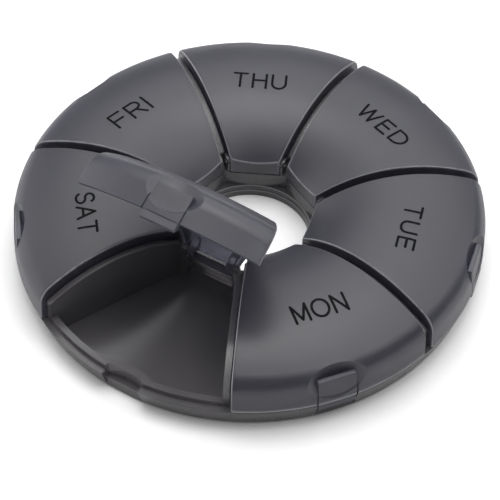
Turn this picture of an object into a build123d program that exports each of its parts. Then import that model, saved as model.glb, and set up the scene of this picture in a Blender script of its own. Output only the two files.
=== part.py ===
from build123d import *
import math
import os

# Weekly pill organizer: a flat ring-shaped tub with seven wedge compartments round a
# finger hole, and seven domed lids that hinge on steel pins beside the hole.
# Millimetres, +Z up, origin at the centre of the underside.

# Days, counter-clockwise from above, starting at -Y
DAYS = ["sun", "mon", "tue", "wed", "thu", "fri", "sat"]
FIRST_AZIMUTH = -90.0

# Driving sizes of the tub
RIM_RADIUS = 46.0
FOOT_RADIUS = 44.6
SEAM_HEIGHT = 5.0
FLOOR = 1.3
WALL = 1.2
COLLAR_HEIGHT = 1.0
PARTITION = 1.2
PARTITION_DROP = 2.2
FOOT_ROUNDING = 1.0

# Driving sizes of the hub round the finger hole
HUB_APOTHEM = 12.2
HUB_WALL = 1.1
HUB_WALL_TOP = 6.0
HOLE_RADIUS = 11.9
HOLE_LEDGE = 2.6
HOLE_STEP = 0.25
HOLE_STEP_HEIGHT = 1.3

# Driving sizes of the lids
CREST_RADIUS = 30.0
CREST_HEIGHT = 15.6
INNER_EDGE_HEIGHT = 9.0
SHOULDER_HEIGHT = 11.4
SHOULDER_ROUNDING = 4.2
LID_WALL = 1.0
LID_DRAFT = 0.3
LID_GAP = 1.8
SKIRT_DEPTH = 3.5
FACET_BOTTOM = 6.2
EDGE_ROUNDING = 0.4

# Driving sizes of the thumb tab, the hollow behind it and the dent under it
TAB_WIDTH = 7.4
TAB_THICKNESS = 1.0
TAB_INSET = 0.1
TAB_LEAN = 0.7
TAB_TOP = 10.7
TAB_BOTTOM = 3.4
TAB_ROUNDING = 0.2
TAB_GROOVE_WIDTH = 0.35
TAB_GROOVE_DEPTH = 0.6
SCOOP_RADIUS = 12.0
SCOOP_CENTRE_HEIGHT = 13.5
SCOOP_DEPTH = 2.7
DENT_RADIUS = 13.0
DENT_DEPTH = 2.8
DENT_BLEND = 2.5
DENT_LEDGE = 2.8
LEDGE_WIDTH = 1.3

# Driving sizes of the hinge
PIN_RADIUS = 0.5
PIN_APOTHEM = 13.6
PIN_HEIGHT = 7.8
BOSS_RADIUS = 1.3
BOSS_SLOT = 0.9
EAR_WIDTH = 1.4
OPEN_ANGLE = 64.0

# Clearances
SEAT_GAP = 0.1
COLLAR_GAP = 0.4
HINGE_SIDE_GAP = 0.18
TURNING_GAP = 0.25
PIN_CLEARANCE = 0.05
TAB_SIDE_GAP = 0.2

# Worked out from the sizes above
SECTOR = 360.0 / len(DAYS)
HALF = math.radians(SECTOR / 2)
COLLAR_RADIUS = RIM_RADIUS - LID_WALL - COLLAR_GAP
COLLAR_TOP = SEAM_HEIGHT + COLLAR_HEIGHT
INNER_RADIUS = COLLAR_RADIUS - WALL
LID_BOTTOM = SEAM_HEIGHT + SEAT_GAP
TAB_FACE = RIM_RADIUS - TAB_INSET
DENT_FACE = RIM_RADIUS - DENT_DEPTH
DENT_HALF_WIDTH = TAB_WIDTH / 2 + TAB_SIDE_GAP
INNER_RUN = CREST_RADIUS - HUB_APOTHEM
INNER_DROP = CREST_HEIGHT - INNER_EDGE_HEIGHT
INNER_DOME = (INNER_RUN**2 + INNER_DROP**2) / (2 * INNER_DROP)
OUTER_RUN = RIM_RADIUS - CREST_RADIUS
OUTER_DROP = CREST_HEIGHT - SHOULDER_HEIGHT
OUTER_DOME = (OUTER_RUN**2 + OUTER_DROP**2) / (2 * OUTER_DROP)
FACE_HALF_WIDTH = HUB_APOTHEM * math.tan(HALF) - LID_GAP / 2 / math.cos(HALF)
BOSS_FACE = FACE_HALF_WIDTH + HINGE_SIDE_GAP
PIN_HALF_LENGTH = PIN_APOTHEM * math.tan(HALF) - BOSS_SLOT / 2 / math.cos(HALF)
SWEEP_RADIUS = math.hypot(PIN_APOTHEM - HUB_APOTHEM, PIN_HEIGHT - FACET_BOTTOM)
ABOVE = CREST_HEIGHT + 10.0
BEYOND = RIM_RADIUS + 20.0


def azimuth(k):
    """The direction of a sector's middle, in degrees."""
    return FIRST_AZIMUTH + k * SECTOR


def block(x0, x1, y0, y1, z0, z1):
    """A box between two corners."""
    size = Box(x1 - x0, y1 - y0, z1 - z0)
    return Pos((x0 + x1) / 2, (y0 + y1) / 2, (z0 + z1) / 2) * size


def prism(points, z0, z1):
    """A straight prism over a plan outline."""
    plan = make_face(Polyline(*points, close=True))
    return Pos(0, 0, z0) * extrude(plan, amount=z1 - z0)


def wedge(side_gap, apothem, z0, z1):
    """One sector's plan, with its two sides drawn in and its inner side cut off square."""
    shift = side_gap / math.cos(HALF)
    near = apothem * math.tan(HALF) - shift
    far = BEYOND * math.tan(HALF) - shift
    points = [(apothem, -near), (BEYOND, -far), (BEYOND, far), (apothem, near)]
    return prism(points, z0, z1)


def dome_height(radius, depth=0.0):
    """Height of the dome, or of a surface at a depth under it, at a distance from the axis."""
    arc = INNER_DOME if radius < CREST_RADIUS else OUTER_DOME
    return CREST_HEIGHT - arc + math.sqrt((arc - depth) ** 2 - (radius - CREST_RADIUS) ** 2)


def dome_arc(start, end, depth):
    """One of the dome's two arcs, which meet level at the crest."""
    radii = (start, (start + end) / 2, end)
    return ThreePointArc(*[(radius, dome_height(radius, depth)) for radius in radii])


def under_dome(depth, outer_radius, z0, rounding=0.0, draft=0.0):
    """All that lies under the dome, or at a depth under it, inside an outer radius."""
    inner = HUB_APOTHEM - HUB_WALL / 2
    shoulder = outer_radius - draft
    inner_arc = dome_arc(inner, CREST_RADIUS, depth)
    outer_arc = dome_arc(CREST_RADIUS, shoulder, depth)
    side = Polyline(outer_arc @ 1, (outer_radius, z0), (inner, z0), inner_arc @ 0)
    plan = make_face(inner_arc + outer_arc + side)
    if rounding > 0:
        corner = plan.vertices().sort_by_distance((shoulder, dome_height(shoulder, depth)))[0]
        plan = fillet(corner, rounding)
    return revolve(Plane.XZ * plan, Axis.Z)


def round_bar(radius, y0, y1):
    """A round bar on the hinge axis."""
    bar = Cylinder(radius, y1 - y0)
    return Pos(PIN_APOTHEM, (y0 + y1) / 2, PIN_HEIGHT) * Rot(90, 0, 0) * bar


def scoop(offset=0.0):
    """The hollow behind the thumb tab: a ball let into the shoulder."""
    centre = RIM_RADIUS - SCOOP_DEPTH + SCOOP_RADIUS
    return Pos(centre, 0, SCOOP_CENTRE_HEIGHT) * Sphere(SCOOP_RADIUS + offset)


def dented_wall(offset=0.0):
    """All that lies outside the dented wall's face: an upright cylinder let into the rim."""
    return Pos(DENT_FACE + DENT_RADIUS, 0, 0) * Cylinder(DENT_RADIUS + offset, 4 * ABOVE)


def compartment():
    """The room of one sector, with the smooth bulge behind its dent."""
    room = wedge(PARTITION / 2, HUB_APOTHEM + HUB_WALL, FLOOR, ABOVE)
    room &= Cylinder(INNER_RADIUS, 2 * ABOVE)
    room -= dented_wall(WALL)
    bulge_ends = room.edges().filter_by(Axis.Z).sort_by_distance((RIM_RADIUS, 0, ABOVE / 2))[:2]
    return fillet(bulge_ends, DENT_BLEND)


def tub_sector_cuts():
    """What one sector takes out of the full ring: its compartment, its open top and its dent."""
    side = PARTITION / 2
    top = wedge(side, HUB_APOTHEM - HUB_WALL, COLLAR_TOP, ABOVE)
    hub_top = wedge(side, HUB_APOTHEM - HUB_WALL, HUB_WALL_TOP, ABOVE)
    hub_top -= block(HUB_APOTHEM + HUB_WALL, BEYOND, -BEYOND, BEYOND, 0, ABOVE)
    half = DENT_HALF_WIDTH
    dent = block(0, BEYOND, -half, half, DENT_LEDGE, ABOVE) & dented_wall()
    dent += block(DENT_FACE + LEDGE_WIDTH, BEYOND, -half, half, -FLOOR, ABOVE)
    return compartment() + top + hub_top + dent


def tub_bosses():
    """One sector's two hinge bosses, bored for its pin."""
    own = wedge(BOSS_SLOT / 2, HUB_APOTHEM - HUB_WALL, 0, ABOVE)
    bosses = []
    for side in (-1, 1):
        y0, y1 = sorted((side * BOSS_FACE, side * 3 * BOSS_FACE))
        foot = block(PIN_APOTHEM - BOSS_RADIUS, PIN_APOTHEM + BOSS_RADIUS, y0, y1, FLOOR, PIN_HEIGHT)
        bosses.append((round_bar(BOSS_RADIUS, y0, y1) + foot) & own)
    return bosses


def base_tub():
    """The tub: floor, outer wall with its collar, hub wall, partitions and hinge bosses."""
    low = Polyline(
        (0, 0), (FOOT_RADIUS, 0), (RIM_RADIUS, SEAM_HEIGHT), (0, SEAM_HEIGHT), (0, 0)
    )
    plan = make_face(low)
    foot = plan.vertices().sort_by_distance((FOOT_RADIUS, 0))[0]
    ring = revolve(Plane.XZ * fillet(foot, FOOT_ROUNDING), Axis.Z)
    ring += under_dome(PARTITION_DROP, COLLAR_RADIUS, SEAM_HEIGHT - FLOOR)
    cuts = tub_sector_cuts()
    slot_end = (PIN_APOTHEM + BOSS_RADIUS) / math.cos(HALF) - PARTITION / 2
    for k in range(len(DAYS)):
        turn = Rot(0, 0, azimuth(k))
        ring -= turn * cuts
        inner_end = block(0, slot_end, -PARTITION, PARTITION, HUB_WALL_TOP, ABOVE)
        ring -= Rot(0, 0, azimuth(k) + SECTOR / 2) * inner_end
    for k in range(len(DAYS)):
        turn = Rot(0, 0, azimuth(k))
        for boss in tub_bosses():
            ring += turn * boss
    relief = round_bar(SWEEP_RADIUS + TURNING_GAP, -BOSS_FACE, BOSS_FACE)
    bore = round_bar(PIN_RADIUS, -3 * BOSS_FACE, 3 * BOSS_FACE)
    bore &= wedge(0, 0, 0, ABOVE)
    for k in range(len(DAYS)):
        turn = Rot(0, 0, azimuth(k))
        ring -= turn * relief
        ring -= turn * bore
    ring -= Cylinder(HOLE_RADIUS, 4 * ABOVE)
    step_height = HOLE_LEDGE - HOLE_STEP_HEIGHT
    step = Cylinder(HOLE_RADIUS + HOLE_STEP, step_height)
    ring -= Pos(0, 0, HOLE_STEP_HEIGHT + step_height / 2) * step
    hub = RegularPolygon(HUB_APOTHEM, len(DAYS), major_radius=False)
    corner = FIRST_AZIMUTH + SECTOR / 2
    return ring - Rot(0, 0, corner) * Pos(0, 0, HOLE_LEDGE) * extrude(hub, amount=ABOVE)


def top_edges(shape):
    """The edges round a block's upright flat faces, without those at its foot."""
    upright = [face for face in shape.faces().filter_by(GeomType.PLANE) if abs(face.normal_at().Z) < 0.5]
    edges = {edge for face in upright for edge in face.edges()}
    return [edge for edge in edges if edge.center().Z > LID_BOTTOM + EDGE_ROUNDING]


def thumb_tab():
    """The flat plate that a thumb lifts: it leans in with the shoulder and hangs over the dent."""
    top = TAB_FACE - TAB_LEAN
    outline = Polyline(
        (TAB_FACE - TAB_THICKNESS, TAB_BOTTOM),
        (TAB_FACE, TAB_BOTTOM),
        (top, TAB_TOP),
        (top - TAB_THICKNESS, TAB_TOP),
        close=True,
    )
    plate = extrude(Plane.XZ * make_face(outline), amount=TAB_WIDTH / 2, both=True)
    return fillet(plate.edges(), TAB_ROUNDING)


def tab_grooves():
    """The two narrow grooves that set the tab off from the rim beside it."""
    near, far = TAB_WIDTH / 2, TAB_WIDTH / 2 + TAB_GROOVE_WIDTH
    floor = TAB_FACE - TAB_GROOVE_DEPTH
    return block(floor, BEYOND, near, far, 0, ABOVE) + block(floor, BEYOND, -far, -near, 0, ABOVE)


def lid():
    """One lid, closed, with its sector's middle on +X."""
    outer = under_dome(0, RIM_RADIUS, LID_BOTTOM, SHOULDER_ROUNDING, LID_DRAFT)
    outer &= wedge(LID_GAP / 2, HUB_APOTHEM, 0, ABOVE)
    outer = fillet(top_edges(outer), EDGE_ROUNDING)
    inside_wall = RIM_RADIUS - LID_WALL
    hollow = under_dome(LID_WALL, inside_wall, 0, SHOULDER_ROUNDING - LID_WALL, LID_DRAFT)
    hollow &= wedge(LID_GAP / 2 + LID_WALL, HUB_APOTHEM + LID_WALL, 0, ABOVE)
    body = outer - scoop() - (hollow - scoop(LID_WALL))
    below = under_dome(SKIRT_DEPTH, inside_wall - LID_DRAFT, 0)
    below &= wedge(0, HUB_APOTHEM + LID_WALL, 0, ABOVE)
    body -= below - scoop(LID_WALL)
    inner_end = HUB_APOTHEM + LID_WALL + TURNING_GAP
    body -= block(0, inner_end, -BEYOND, BEYOND, 0, FACET_BOTTOM)
    body -= tab_grooves()
    body += thumb_tab()
    for side in (-1, 1):
        y0, y1 = sorted((side * (FACE_HALF_WIDTH - EAR_WIDTH), side * FACE_HALF_WIDTH))
        web_end = PIN_APOTHEM + BOSS_RADIUS
        web = block(HUB_APOTHEM, web_end, y0, y1, PIN_HEIGHT, ABOVE) & outer
        body += round_bar(BOSS_RADIUS, y0, y1) + web
        y0, y1 = sorted((side * (FACE_HALF_WIDTH + HINGE_SIDE_GAP / 4), side * BEYOND))
        clear = BOSS_RADIUS + TURNING_GAP
        body -= round_bar(clear, y0, y1)
        body -= block(0, PIN_APOTHEM + clear, y0, y1, 0, PIN_HEIGHT)
    return body - round_bar(PIN_RADIUS + PIN_CLEARANCE, -BEYOND, BEYOND)


def hinge_pin():
    """One steel pin, pressed into a pair of bosses."""
    pin = round_bar(PIN_RADIUS, -PIN_HALF_LENGTH, PIN_HALF_LENGTH)
    return chamfer(pin.edges().filter_by(GeomType.CIRCLE), PIN_RADIUS / 4)


def write(shape, name):
    """One node, one file."""
    export_step(shape, os.path.join("parts", name + ".step"))


os.makedirs("parts", exist_ok=True)
write(base_tub(), "base_tub")
closed_lid = lid()
closed_pin = hinge_pin()
hinge_axis = Axis((PIN_APOTHEM, 0, PIN_HEIGHT), (0, -1, 0))
open_lid = closed_lid.rotate(hinge_axis, OPEN_ANGLE)
for k, day in enumerate(DAYS):
    turn = Rot(0, 0, azimuth(k))
    write(turn * (open_lid if day == "sun" else closed_lid), "lid_" + day)
    write(turn * closed_pin, "hinge_pin_" + day)
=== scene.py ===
import math

import bpy
from mathutils import Matrix, Vector


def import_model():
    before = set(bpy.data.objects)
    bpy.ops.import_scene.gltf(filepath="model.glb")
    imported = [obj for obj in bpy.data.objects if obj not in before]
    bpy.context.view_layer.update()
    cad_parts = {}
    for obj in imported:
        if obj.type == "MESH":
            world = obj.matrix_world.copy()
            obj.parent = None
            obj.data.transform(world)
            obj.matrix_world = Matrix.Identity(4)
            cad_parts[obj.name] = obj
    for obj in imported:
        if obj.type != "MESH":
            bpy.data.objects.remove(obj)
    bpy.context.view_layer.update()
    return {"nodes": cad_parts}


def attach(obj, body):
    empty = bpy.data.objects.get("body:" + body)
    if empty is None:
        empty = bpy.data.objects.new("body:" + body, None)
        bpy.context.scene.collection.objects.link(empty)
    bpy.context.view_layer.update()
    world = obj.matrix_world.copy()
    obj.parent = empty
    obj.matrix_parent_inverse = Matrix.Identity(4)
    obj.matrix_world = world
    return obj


# Weekly pill organizer: smoky translucent plastic on the CAD solids, black day letters on the
# lids, steel pins, a pale floor and soft light. Metres, in the frame of the CAD model.

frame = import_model()

MM = 0.001
DAYS = ["sun", "mon", "tue", "wed", "thu", "fri", "sat"]
SECTOR = math.radians(360 / len(DAYS))
FIRST_AZIMUTH = math.radians(-90)

# A shut lid, as in the CAD model. Its top is two arcs that meet level at the crest: one falls to
# the hub facet beside the finger hole, and one to the shoulder at the rim
HUB_APOTHEM = 12.2 * MM
HUB_HEIGHT = 9.0 * MM
CREST_RADIUS = 30.0 * MM
CREST_HEIGHT = 15.6 * MM
RIM_RADIUS = 46.0 * MM
SHOULDER_HEIGHT = 11.4 * MM
LID_GAP = 1.8 * MM
EDGE_ROUNDING = 0.4 * MM

# The hinge of each lid, and the lid that stands open at rest
PIN_APOTHEM = 13.6 * MM
PIN_HEIGHT = 7.8 * MM
REST_OPENING = math.radians(64)
OPEN_DAY = "sun"

# How far the painted highlight on a rounded edge leans from level, beside the gaps and at the hub
SIDE_TILTS = (math.radians(30), math.radians(60))
HUB_TILTS = (math.radians(43), math.radians(87))

# Thin level lines of painted light and shade: a painted shadow in the seam between tub and lids,
# a painted highlight on the lids' edge just above it, and painted highlights on the edges inside the
# finger hole. Each has a range of distances from the axis, a range of heights and a colour
SEAM_BAND = (45.5 * MM, 46.1 * MM)
HOLE_BAND = (11.8 * MM, 12.3 * MM)
SEAM_SHADOW_PAINT = (0.006, 0.006, 0.007)
SEAM_HIGHLIGHT_PAINT = (0.34, 0.34, 0.36)
HOLE_HIGHLIGHT_PAINT = (0.26, 0.255, 0.265)
# The lids get a painted highlight above the seam; the tub a painted shadow in it and painted highlights in
# the hole
LID_PAINTED_LIGHT = [(SEAM_BAND, (5.1 * MM, 5.42 * MM), SEAM_HIGHLIGHT_PAINT)]
TUB_PAINTED_LIGHT_AND_SHADE = [
    (SEAM_BAND, (4.58 * MM, 5.0 * MM), SEAM_SHADOW_PAINT),
    (HOLE_BAND, (2.45 * MM, 2.65 * MM), HOLE_HIGHLIGHT_PAINT),
    (HOLE_BAND, (1.2 * MM, 1.4 * MM), HOLE_HIGHLIGHT_PAINT),
]

# Noise, as the number of marks to a metre, the range of the noise that a colour changes over, and
# the depths and strengths of the bumps
NOISE_RANGE = (0.3, 0.7)
FLOW_MARKS = 70.0
FLOW_STRETCH = (1.0, 1.0, 0.4)
HAZE_MARKS = 160.0
WAVE_MARKS = 120.0
WAVE_DEPTH = 0.03 * MM
WAVE_STRENGTH = 0.25
WIRE_MARKS = 900.0
WIRE_GRAIN = 5200.0
WIRE_DEPTH = 0.004 * MM
WIRE_STRENGTH = 0.5
INK_MARKS = 2400.0
INK_RANGE = (0.35, 0.75)
INK_DEPTH = 0.01 * MM
INK_STRENGTH = 0.4
FLOOR_MARKS = 900.0

# The plastic: the index of refraction of clear styrene, and how far its haze takes the roughness
# down and up, as shares of it
PLASTIC_IOR = 1.58
HAZE_LOW = 0.85
HAZE_HIGH = 1.2

# The day letters: the width that a glyph's unit stands for, the pen's width and steps, the angles
# at which its round ends are drawn, how near the ends of a closed loop are, and how far the ink
# stands above and reaches below the lid's top
LETTER_WIDTH = 3.9 * MM
STROKE_WIDTH = 0.5 * MM
STROKE_STEP = 0.35 * MM
CAP_ANGLES = [math.radians(angle) for angle in (30, 60, 80)]
LOOP_CLOSURE = 0.025 * MM
PRINT_ABOVE = 0.03 * MM
PRINT_BELOW = 0.12 * MM

# How each word is set, in millimetres and degrees: the distance of its middle from the axis, the
# sideways shift of its middle, its turn, whether its tops point outward, the height of its
# letters and the gap between them
WORDS = {
    "sun": (32.2, 0.0, 0.0, False, 3.9, 0.95),
    "mon": (32.65, 1.35, 0.0, False, 3.75, 0.95),
    "tue": (31.9, -0.6, 4.5, True, 3.2, 1.45),
    "wed": (31.2, -0.8, 6.5, True, 3.45, 1.3),
    "thu": (29.1, 0.6, 0.0, True, 3.75, 1.25),
    "fri": (30.9, 2.2, -3.0, True, 3.9, 1.35),
    "sat": (31.55, 3.0, 0.0, False, 3.45, 0.95),
}

# A level floor just under the object, and how much brighter its colour is to the camera
FLOOR_DROP = 0.02 * MM
FLOOR_SIZE = 3.0
FLOOR_SEEN = 1.42

# The surroundings' own brightness, and the studio's soft boxes as smooth bright patches of them:
# azimuth and elevation, half width and brightness, with azimuth 0 at the front. Angles in degrees
SURROUND = 0.15
SOFT_BOXES = [
    (190, 66, 60, 1.6),
    (217, 76, 24, 1.9),
    (105, 60, 28, 0.6),
    (280, 12, 45, 1.2),
]

# The camera, fitted to the photograph's frame. Its direction is in degrees, as the soft boxes' is
FRAME_PIXELS = 500
FOCAL_PIXELS = 1741.5
SENSOR_WIDTH = 36.0
CLIP_START = 0.01
CLIP_END = 20.0
CAMERA_DISTANCE = 346.08 * MM
CAMERA_AZIMUTH = 30.824
CAMERA_ELEVATION = 48.705
CAMERA_YAW = math.radians(0.027)
CAMERA_PITCH = math.radians(0.365)
CAMERA_ROLL = math.radians(-0.293)


# Places on the lids


def azimuth(day):
    """The direction of a day's sector, in radians."""
    return FIRST_AZIMUTH + DAYS.index(day) * SECTOR


def rest_opening(day):
    """How far a lid stands open at rest, in radians."""
    return REST_OPENING if day == OPEN_DAY else 0.0


def dome_height(radius):
    """The height of a shut lid's top at a distance from the axis."""
    if radius < CREST_RADIUS:
        run, fall = CREST_RADIUS - HUB_APOTHEM, CREST_HEIGHT - HUB_HEIGHT
    else:
        run, fall = RIM_RADIUS - CREST_RADIUS, CREST_HEIGHT - SHOULDER_HEIGHT
    dome = (run**2 + fall**2) / (2 * fall)
    return CREST_HEIGHT - dome + math.sqrt(dome**2 - (radius - CREST_RADIUS) ** 2)


def swing(outward, up, angle):
    """A direction in a lid's upright middle plane, turned the way that the lid opens."""
    turned_outward = outward * math.cos(angle) - up * math.sin(angle)
    return turned_outward, outward * math.sin(angle) + up * math.cos(angle)


def swing_point(outward, up, angle):
    """A point of a lid, turned about its hinge the way that the lid opens."""
    outward, up = swing(outward - PIN_APOTHEM, up - PIN_HEIGHT, angle)
    return outward + PIN_APOTHEM, up + PIN_HEIGHT


def to_closed(vector, day, turn):
    """A lid's point or direction as outward, across and up, turned shut by one of the two above."""
    a = azimuth(day)
    outward = vector.x * math.cos(a) + vector.y * math.sin(a)
    across = vector.y * math.cos(a) - vector.x * math.sin(a)
    outward, up = turn(outward, vector.z, -rest_opening(day))
    return outward, across, up


def on_lid(day, outward, across, above):
    """A point over a lid's top, with the lid as it stands at rest."""
    height = dome_height(math.hypot(outward, across)) + above
    outward, up = swing_point(outward, height, rest_opening(day))
    a = azimuth(day)
    x = outward * math.cos(a) - across * math.sin(a)
    y = outward * math.sin(a) + across * math.cos(a)
    return (x, y, up)


# Materials


class Nodes:
    """The node tree of a new material or world, with short calls to add and join nodes."""

    def __init__(self, owner, output_kind):
        self.owner = owner
        owner.use_nodes = True
        self.tree = owner.node_tree
        self.tree.nodes.clear()
        self.output = self.tree.nodes.new(output_kind)

    def add(self, kind, inputs=None, **settings):
        """A new node. An input is a plain value, or another node's output socket."""
        node = self.tree.nodes.new(kind)
        for key, value in settings.items():
            setattr(node, key, value)
        for key, value in (inputs or {}).items():
            if isinstance(value, bpy.types.NodeSocket):
                self.tree.links.new(value, node.inputs[key])
            else:
                node.inputs[key].default_value = value
        return node

    def math(self, operation, first, second):
        """One operation on two values."""
        return self.add("ShaderNodeMath", {0: first, 1: second}, operation=operation).outputs["Value"]

    def mix(self, factor, first, second):
        """A colour between two others. The node's sockets share their names, so they are numbered."""
        node = self.add("ShaderNodeMix", {0: factor, 6: first, 7: second}, data_type="RGBA")
        return node.outputs[2]

    def ramp(self, factor, dark, light, over=NOISE_RANGE):
        """A colour that goes from dark to light over a range of a factor."""
        node = self.add("ShaderNodeValToRGB", {"Fac": factor})
        for element, position, colour in zip(node.color_ramp.elements, over, (dark, light)):
            element.position = position
            element.color = (*colour, 1.0)
        return node.outputs["Color"]

    def spread(self, factor, low, high):
        """A factor from 0 to 1, spread between two values."""
        node = self.add("ShaderNodeMapRange", {"Value": factor, "To Min": low, "To Max": high})
        return node.outputs["Result"]

    def noise(self, marks, detail=2.0, stretch=(1.0, 1.0, 1.0)):
        """Noise in object space, with so many marks to a metre."""
        place = self.add("ShaderNodeTexCoord").outputs["Object"]
        squeezed = self.add("ShaderNodeMapping", {"Vector": place, "Scale": stretch}).outputs["Vector"]
        inputs = {"Vector": squeezed, "Scale": marks, "Detail": detail}
        return self.add("ShaderNodeTexNoise", inputs).outputs["Fac"]

    def bump(self, height, depth, strength):
        """A bump from a height, over a real depth."""
        inputs = {"Height": height, "Distance": depth, "Strength": strength}
        return self.add("ShaderNodeBump", inputs).outputs["Normal"]

    def principled(self, inputs):
        """The finished material, with one Principled shader."""
        return self.finish(self.add("ShaderNodeBsdfPrincipled", inputs).outputs["BSDF"])

    def finish(self, shader):
        """Joins the shader to the output and gives the material or world."""
        self.tree.links.new(shader, self.output.inputs["Surface"])
        return self.owner


def material_nodes(name):
    """The node tree of a new material."""
    return Nodes(bpy.data.materials.new(name), "ShaderNodeOutputMaterial")


def level_lines(n, colour, lines):
    """The colour with the level lines of painted light and shade drawn in, and a mask of all of them."""
    painted_mask = 0.0
    place = n.add("ShaderNodeTexCoord").outputs["Object"]
    height = n.add("ShaderNodeSeparateXYZ", {"Vector": place}).outputs["Z"]
    flat = n.add("ShaderNodeVectorMath", {0: place, 1: (1.0, 1.0, 0.0)}, operation="MULTIPLY")
    length = n.add("ShaderNodeVectorMath", {0: flat.outputs["Vector"]}, operation="LENGTH")
    distance = length.outputs["Value"]
    for (near, far), (low, high), painted_colour in lines:
        here = 1.0
        for value, limit, test in (
            (distance, near, "GREATER_THAN"),
            (distance, far, "LESS_THAN"),
            (height, low, "GREATER_THAN"),
            (height, high, "LESS_THAN"),
        ):
            here = n.math("MULTIPLY", n.math(test, value, limit), here)
        colour = n.mix(here, colour, (*painted_colour, 1.0))
        painted_mask = n.math("MAXIMUM", here, painted_mask)
    return colour, painted_mask


def smoky_plastic(name, dark, light, transmission, roughness, lines=()):
    """Smoky translucent moulded plastic: faint flow marks, a slight haze and very low waves."""
    n = material_nodes(name)
    colour = n.ramp(n.noise(FLOW_MARKS, detail=3.0, stretch=FLOW_STRETCH), dark, light)
    # The level lines are painted shadow and painted highlights, and let no light through
    if lines:
        colour, painted_mask = level_lines(n, colour, lines)
        transmission = n.spread(painted_mask, transmission, 0.0)
    return n.principled({
        "Base Color": colour,
        "Roughness": n.spread(n.noise(HAZE_MARKS), roughness * HAZE_LOW, roughness * HAZE_HIGH),
        "IOR": PLASTIC_IOR,
        "Transmission Weight": transmission,
        "Normal": n.bump(n.noise(WAVE_MARKS, detail=1.0), WAVE_DEPTH, WAVE_STRENGTH),
    })


def steel(name):
    """Drawn steel wire: bright, with fine marks."""
    n = material_nodes(name)
    marks = n.noise(WIRE_MARKS, detail=3.0)
    return n.principled({
        "Base Color": n.ramp(marks, (0.55, 0.55, 0.57), (0.78, 0.78, 0.8)),
        "Metallic": 1.0,
        "Roughness": n.spread(marks, 0.18, 0.34),
        "Normal": n.bump(n.noise(WIRE_GRAIN), WIRE_DEPTH, WIRE_STRENGTH),
    })


def ink(name):
    """Matt black ink of the day letters, slightly uneven."""
    n = material_nodes(name)
    patches = n.noise(INK_MARKS, detail=3.0)
    return n.principled({
        "Base Color": n.ramp(patches, (0.004, 0.004, 0.005), (0.012, 0.012, 0.014), INK_RANGE),
        "Roughness": n.spread(patches, 0.6, 0.8),
        "Specular IOR Level": 0.08,
        "Normal": n.bump(patches, INK_DEPTH, INK_STRENGTH),
    })


def pale_floor(name):
    """A pale floor that is white to the camera and keeps the object's soft shadow."""
    n = material_nodes(name)
    colour = n.ramp(n.noise(FLOOR_MARKS), (0.84, 0.84, 0.84), (0.88, 0.88, 0.88))
    seen = n.add("ShaderNodeLightPath").outputs["Is Camera Ray"]
    gain = n.spread(seen, 1.0, FLOOR_SEEN)
    white = n.add("ShaderNodeVectorMath", {0: colour, "Scale": gain}, operation="SCALE")
    matte = n.add("ShaderNodeBsdfDiffuse", {"Color": white.outputs["Vector"]})
    return n.finish(matte.outputs["BSDF"])


# The lids' plastic, with a painted highlight along their lower edge at the seam
LID_PLASTIC = smoky_plastic(
    "lid_plastic",
    dark=(0.158, 0.16, 0.205),
    light=(0.187, 0.188, 0.238),
    transmission=0.8,
    roughness=0.33,
    lines=LID_PAINTED_LIGHT,
)
# The tub's plastic, with a painted shadow in the seam and painted highlights on the edges inside the finger
# hole
TUB_PLASTIC = smoky_plastic(
    "tub_plastic",
    dark=(0.2, 0.19, 0.202),
    light=(0.24, 0.226, 0.24),
    transmission=0.6,
    roughness=0.22,
    lines=TUB_PAINTED_LIGHT_AND_SHADE,
)
# A paler plastic that is a painted highlight on the rounded top edges of the lids, not a plastic of its own
EDGE_HIGHLIGHT_PAINT = smoky_plastic(
    "edge_painted_highlight",
    dark=(0.42, 0.42, 0.45),
    light=(0.55, 0.55, 0.58),
    transmission=0.35,
    roughness=0.25,
)
PIN_STEEL = steel("pin_steel")
LETTER_INK = ink("letter_ink")
FLOOR_PALE = pale_floor("floor_pale")


# The CAD nodes


def dress(node, material):
    """Gives a CAD node its material."""
    mesh = frame["nodes"][node].data
    mesh.materials.clear()
    mesh.materials.append(material)


def paint_edge_highlights(day):
    """Paints highlights on the rounded top edges of a lid: the paler plastic stands in for the light that
    they catch.
    """
    mesh = frame["nodes"]["lid_" + day].data
    mesh.materials.append(EDGE_HIGHLIGHT_PAINT)
    half = SECTOR / 2
    side_low, side_high = (math.sin(tilt) for tilt in SIDE_TILTS)
    hub_low, hub_high = (math.sin(tilt) for tilt in HUB_TILTS)
    for polygon in mesh.polygons:
        outward, across, up = to_closed(polygon.center, day, swing_point)
        facing_out, facing_across, facing_up = to_closed(polygon.normal, day, swing)
        side = 1 if across > 0 else -1
        to_hub = outward - HUB_APOTHEM
        to_side = outward * math.sin(half) - side * across * math.cos(half) - LID_GAP / 2
        leans_to_side = side * facing_across * math.cos(half) - facing_out * math.sin(half)
        at_hub = to_hub < EDGE_ROUNDING and hub_low < -facing_out < hub_high
        at_side = to_side < EDGE_ROUNDING and side_low < leans_to_side < side_high
        # The polygons of the rounded edges that face the light get the painted highlight
        if facing_up >= 0 and (at_hub or at_side):
            polygon.material_index = 1


dress("base_tub", TUB_PLASTIC)
for day in DAYS:
    dress("lid_" + day, LID_PLASTIC)
    # Painted highlights on the lid's rounded top edges
    paint_edge_highlights(day)
    dress("hinge_pin_" + day, PIN_STEEL)


# Day letters


def arc(centre, radii, start, end, steps=14):
    """Points along an elliptic arc, angles in degrees."""
    angles = [math.radians(start + (end - start) * i / steps) for i in range(steps + 1)]
    return [(centre[0] + radii[0] * math.cos(a), centre[1] + radii[1] * math.sin(a)) for a in angles]


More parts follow.
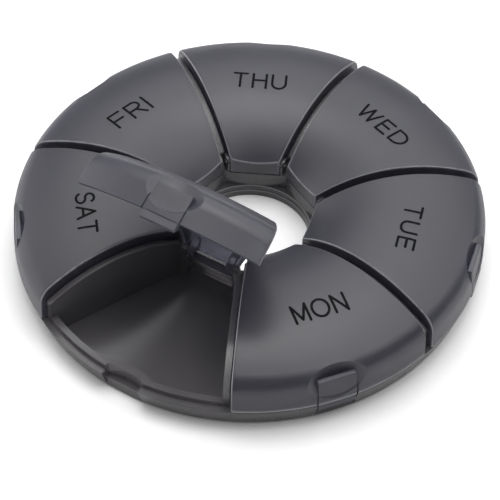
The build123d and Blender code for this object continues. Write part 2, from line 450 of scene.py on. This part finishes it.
# Each glyph is its width and its pen strokes, in a cell of height 1
GLYPHS = {
    "T": (0.69, [[(0, 1), (0.69, 1)], [(0.345, 1), (0.345, 0)]]),
    "H": (0.68, [[(0, 0), (0, 1)], [(0.68, 0), (0.68, 1)], [(0, 0.53), (0.68, 0.53)]]),
    "U": (0.7, [[(0, 1), (0, 0.35)] + arc((0.35, 0.35), (0.35, 0.35), 180, 360) + [(0.7, 1)]]),
    "W": (1.1, [[(0, 1), (0.28, 0)], [(0.28, 0), (0.55, 1)], [(0.55, 1), (0.82, 0)], [(0.82, 0), (1.1, 1)]]),
    "E": (0.62, [[(0, 0), (0, 1)], [(0, 1), (0.62, 1)], [(0, 0.52), (0.55, 0.52)], [(0, 0), (0.62, 0)]]),
    "D": (0.78, [
        [(0, 0), (0, 1)],
        [(0, 1), (0.3, 1)] + arc((0.3, 0.5), (0.48, 0.5), 90, -90, 20) + [(0, 0)],
    ]),
    "M": (0.69, [
        [(0, 0), (0, 1)],
        [(0, 1), (0.345, 0.12)],
        [(0.345, 0.12), (0.69, 1)],
        [(0.69, 1), (0.69, 0)],
    ]),
    "O": (0.8, [arc((0.4, 0.5), (0.4, 0.5), 90, 450, 32)]),
    "N": (0.6, [[(0, 0), (0, 1)], [(0, 1), (0.6, 0)], [(0.6, 0), (0.6, 1)]]),
    "F": (0.7, [[(0, 0), (0, 1)], [(0, 1), (0.7, 1)], [(0, 0.5), (0.62, 0.5)]]),
    "R": (0.81, [
        [(0, 0), (0, 1)],
        [(0, 1), (0.44, 1)] + arc((0.44, 0.74), (0.33, 0.26), 90, -90) + [(0, 0.48)],
        [(0.42, 0.48), (0.81, 0)],
    ]),
    "I": (0.0, [[(0, 0), (0, 1)]]),
    "S": (0.62, [arc((0.31, 0.75), (0.27, 0.25), 25, 245) + arc((0.31, 0.26), (0.31, 0.26), 65, -160)]),
    "A": (0.76, [[(0, 0), (0.38, 1)], [(0.38, 1), (0.76, 0)], [(0.13, 0.33), (0.63, 0.33)]]),
}


def resample(points):
    """The same path with points no further apart than a step."""
    path = [Vector(points[0])]
    for a, b in zip(points, points[1:]):
        a, b = Vector(a), Vector(b)
        count = max(1, math.ceil((b - a).length / STROKE_STEP))
        path += [a.lerp(b, i / count) for i in range(1, count + 1)]
    return path


def stroke_rows(path, is_loop):
    """The place, direction and half width of a pen stroke, row by row, with round ends."""
    half = STROKE_WIDTH / 2
    last = len(path) - 1
    rows = []
    for i, point in enumerate(path):
        before = path[i - 1] if i > 0 else path[last - 1 if is_loop else 0]
        after = path[i + 1] if i < last else path[1 if is_loop else last]
        rows.append((point, (after - before).normalized(), half))
    if is_loop:
        return rows
    (start, leaving, _), (end, arriving, _) = rows[0], rows[-1]
    head = [(start - leaving * half * math.sin(a), leaving, half * math.cos(a)) for a in CAP_ANGLES]
    tail = [(end + arriving * half * math.sin(a), arriving, half * math.cos(a)) for a in CAP_ANGLES]
    return head[::-1] + rows + tail


def stroke_solid(points, to_place):
    """One pen stroke as a closed solid that follows the lid's top: its vertices and faces."""
    path = resample(points)
    is_loop = (path[0] - path[-1]).length < LOOP_CLOSURE
    verts, faces = [], []
    for point, along, half in stroke_rows(path, is_loop):
        side = Vector((-along.y, along.x)) * half
        verts += [to_place(edge, PRINT_ABOVE) for edge in (point - side, point + side)]
        verts += [to_place(edge, -PRINT_BELOW) for edge in (point + side, point - side)]
    last = len(verts) - 4
    for start in range(0, last, 4):
        for j in range(4):
            a, b = start + j, start + (j + 1) % 4
            faces.append((a, a + 4, b + 4, b))
    if is_loop:
        joined = [tuple(v - last if v >= last else v for v in face) for face in faces]
        return verts[:last], joined
    return verts, faces + [(0, 1, 2, 3), (last + 3, last + 2, last + 1, last)]


def word_solid(day):
    """A day's letters as one mesh on its lid."""
    middle, sideways, turn, tops_out, height, gap = WORDS[day]
    height, gap, tilt = height * MM, gap * MM, math.radians(turn)
    letters = [GLYPHS[letter] for letter in day.upper()]
    total = sum(width for width, strokes in letters) * LETTER_WIDTH + gap * (len(letters) - 1)
    facing = 1 if tops_out else -1

    def to_place(point, above):
        x, y = point.x - total / 2, point.y - height / 2
        x, y = x * math.cos(tilt) - y * math.sin(tilt), x * math.sin(tilt) + y * math.cos(tilt)
        return on_lid(day, middle * MM + facing * y, sideways * MM - facing * x, above)

    verts, faces = [], []
    start = 0.0
    for width, strokes in letters:
        for stroke in strokes:
            points = [(start + x * LETTER_WIDTH, y * height) for x, y in stroke]
            new_verts, new_faces = stroke_solid(points, to_place)
            faces += [tuple(v + len(verts) for v in face) for face in new_faces]
            verts += new_verts
        start += width * LETTER_WIDTH + gap
    mesh = bpy.data.meshes.new("letters_" + day)
    mesh.from_pydata(verts, [], faces)
    mesh.validate()
    mesh.materials.append(LETTER_INK)
    word = bpy.data.objects.new("letters_" + day, mesh)
    bpy.context.scene.collection.objects.link(word)
    return word


for day in DAYS:
    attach(word_solid(day), day + "_lid")


# Floor, light and camera


def floor():
    """A wide level floor just under the object."""
    mesh = bpy.data.meshes.new("floor")
    half = FLOOR_SIZE / 2
    corners = [(-half, -half, 0), (half, -half, 0), (half, half, 0), (-half, half, 0)]
    mesh.from_pydata(corners, [], [(0, 1, 2, 3)])
    mesh.materials.append(FLOOR_PALE)
    plane = bpy.data.objects.new("floor", mesh)
    plane.location.z = -FLOOR_DROP
    bpy.context.scene.collection.objects.link(plane)


def direction(azimuth_deg, elevation_deg):
    """A unit vector from the object toward an azimuth and elevation."""
    a, e = math.radians(azimuth_deg), math.radians(elevation_deg)
    return Vector((math.sin(a) * math.cos(e), -math.cos(a) * math.cos(e), math.sin(e)))


def world():
    """White surroundings to the camera and through the plastic, and soft boxes as light."""
    n = Nodes(bpy.data.worlds.new("studio"), "ShaderNodeOutputWorld")
    ray = n.add("ShaderNodeTexCoord").outputs["Generated"]
    total = SURROUND
    for azimuth_deg, elevation_deg, half_width, brightness in SOFT_BOXES:
        toward = direction(azimuth_deg, elevation_deg)
        nearness = n.add("ShaderNodeVectorMath", {0: ray, 1: toward}, operation="DOT_PRODUCT")
        patch = n.add(
            "ShaderNodeMapRange",
            {
                "Value": nearness.outputs["Value"],
                "From Min": math.cos(math.radians(half_width)),
                "To Max": brightness,
            },
            interpolation_type="SMOOTHERSTEP",
        )
        total = n.math("ADD", patch.outputs["Result"], total)
    paths = n.add("ShaderNodeLightPath")
    seen = n.math("MAXIMUM", paths.outputs["Is Camera Ray"], paths.outputs["Is Transmission Ray"])
    strength = n.spread(seen, total, 1.0)
    background = n.add("ShaderNodeBackground", {"Color": (1.0, 1.0, 1.0, 1.0), "Strength": strength})
    bpy.context.scene.world = n.finish(background.outputs["Background"])


def camera():
    """The photograph's camera: its lens, place and small turns."""
    data = bpy.data.cameras.new("camera")
    data.sensor_fit = "HORIZONTAL"
    data.sensor_width = SENSOR_WIDTH
    data.lens = FOCAL_PIXELS * SENSOR_WIDTH / FRAME_PIXELS
    data.clip_start = CLIP_START
    data.clip_end = CLIP_END
    back = direction(CAMERA_AZIMUTH, CAMERA_ELEVATION)
    right = direction(CAMERA_AZIMUTH + 90, 0)
    level = Matrix((right, back.cross(right), back))
    yaw = Matrix.Rotation(CAMERA_YAW, 3, "Y")
    pitch = Matrix.Rotation(CAMERA_PITCH, 3, "X")
    roll = Matrix.Rotation(CAMERA_ROLL, 3, "Z")
    place = (roll @ pitch @ yaw @ level).transposed().to_4x4()
    place.translation = back * CAMERA_DISTANCE
    eye = bpy.data.objects.new("camera", data)
    eye.matrix_world = place
    bpy.context.scene.collection.objects.link(eye)
    bpy.context.scene.camera = eye


floor()
world()
camera()
bpy.context.scene.view_settings.view_transform = "Standard"
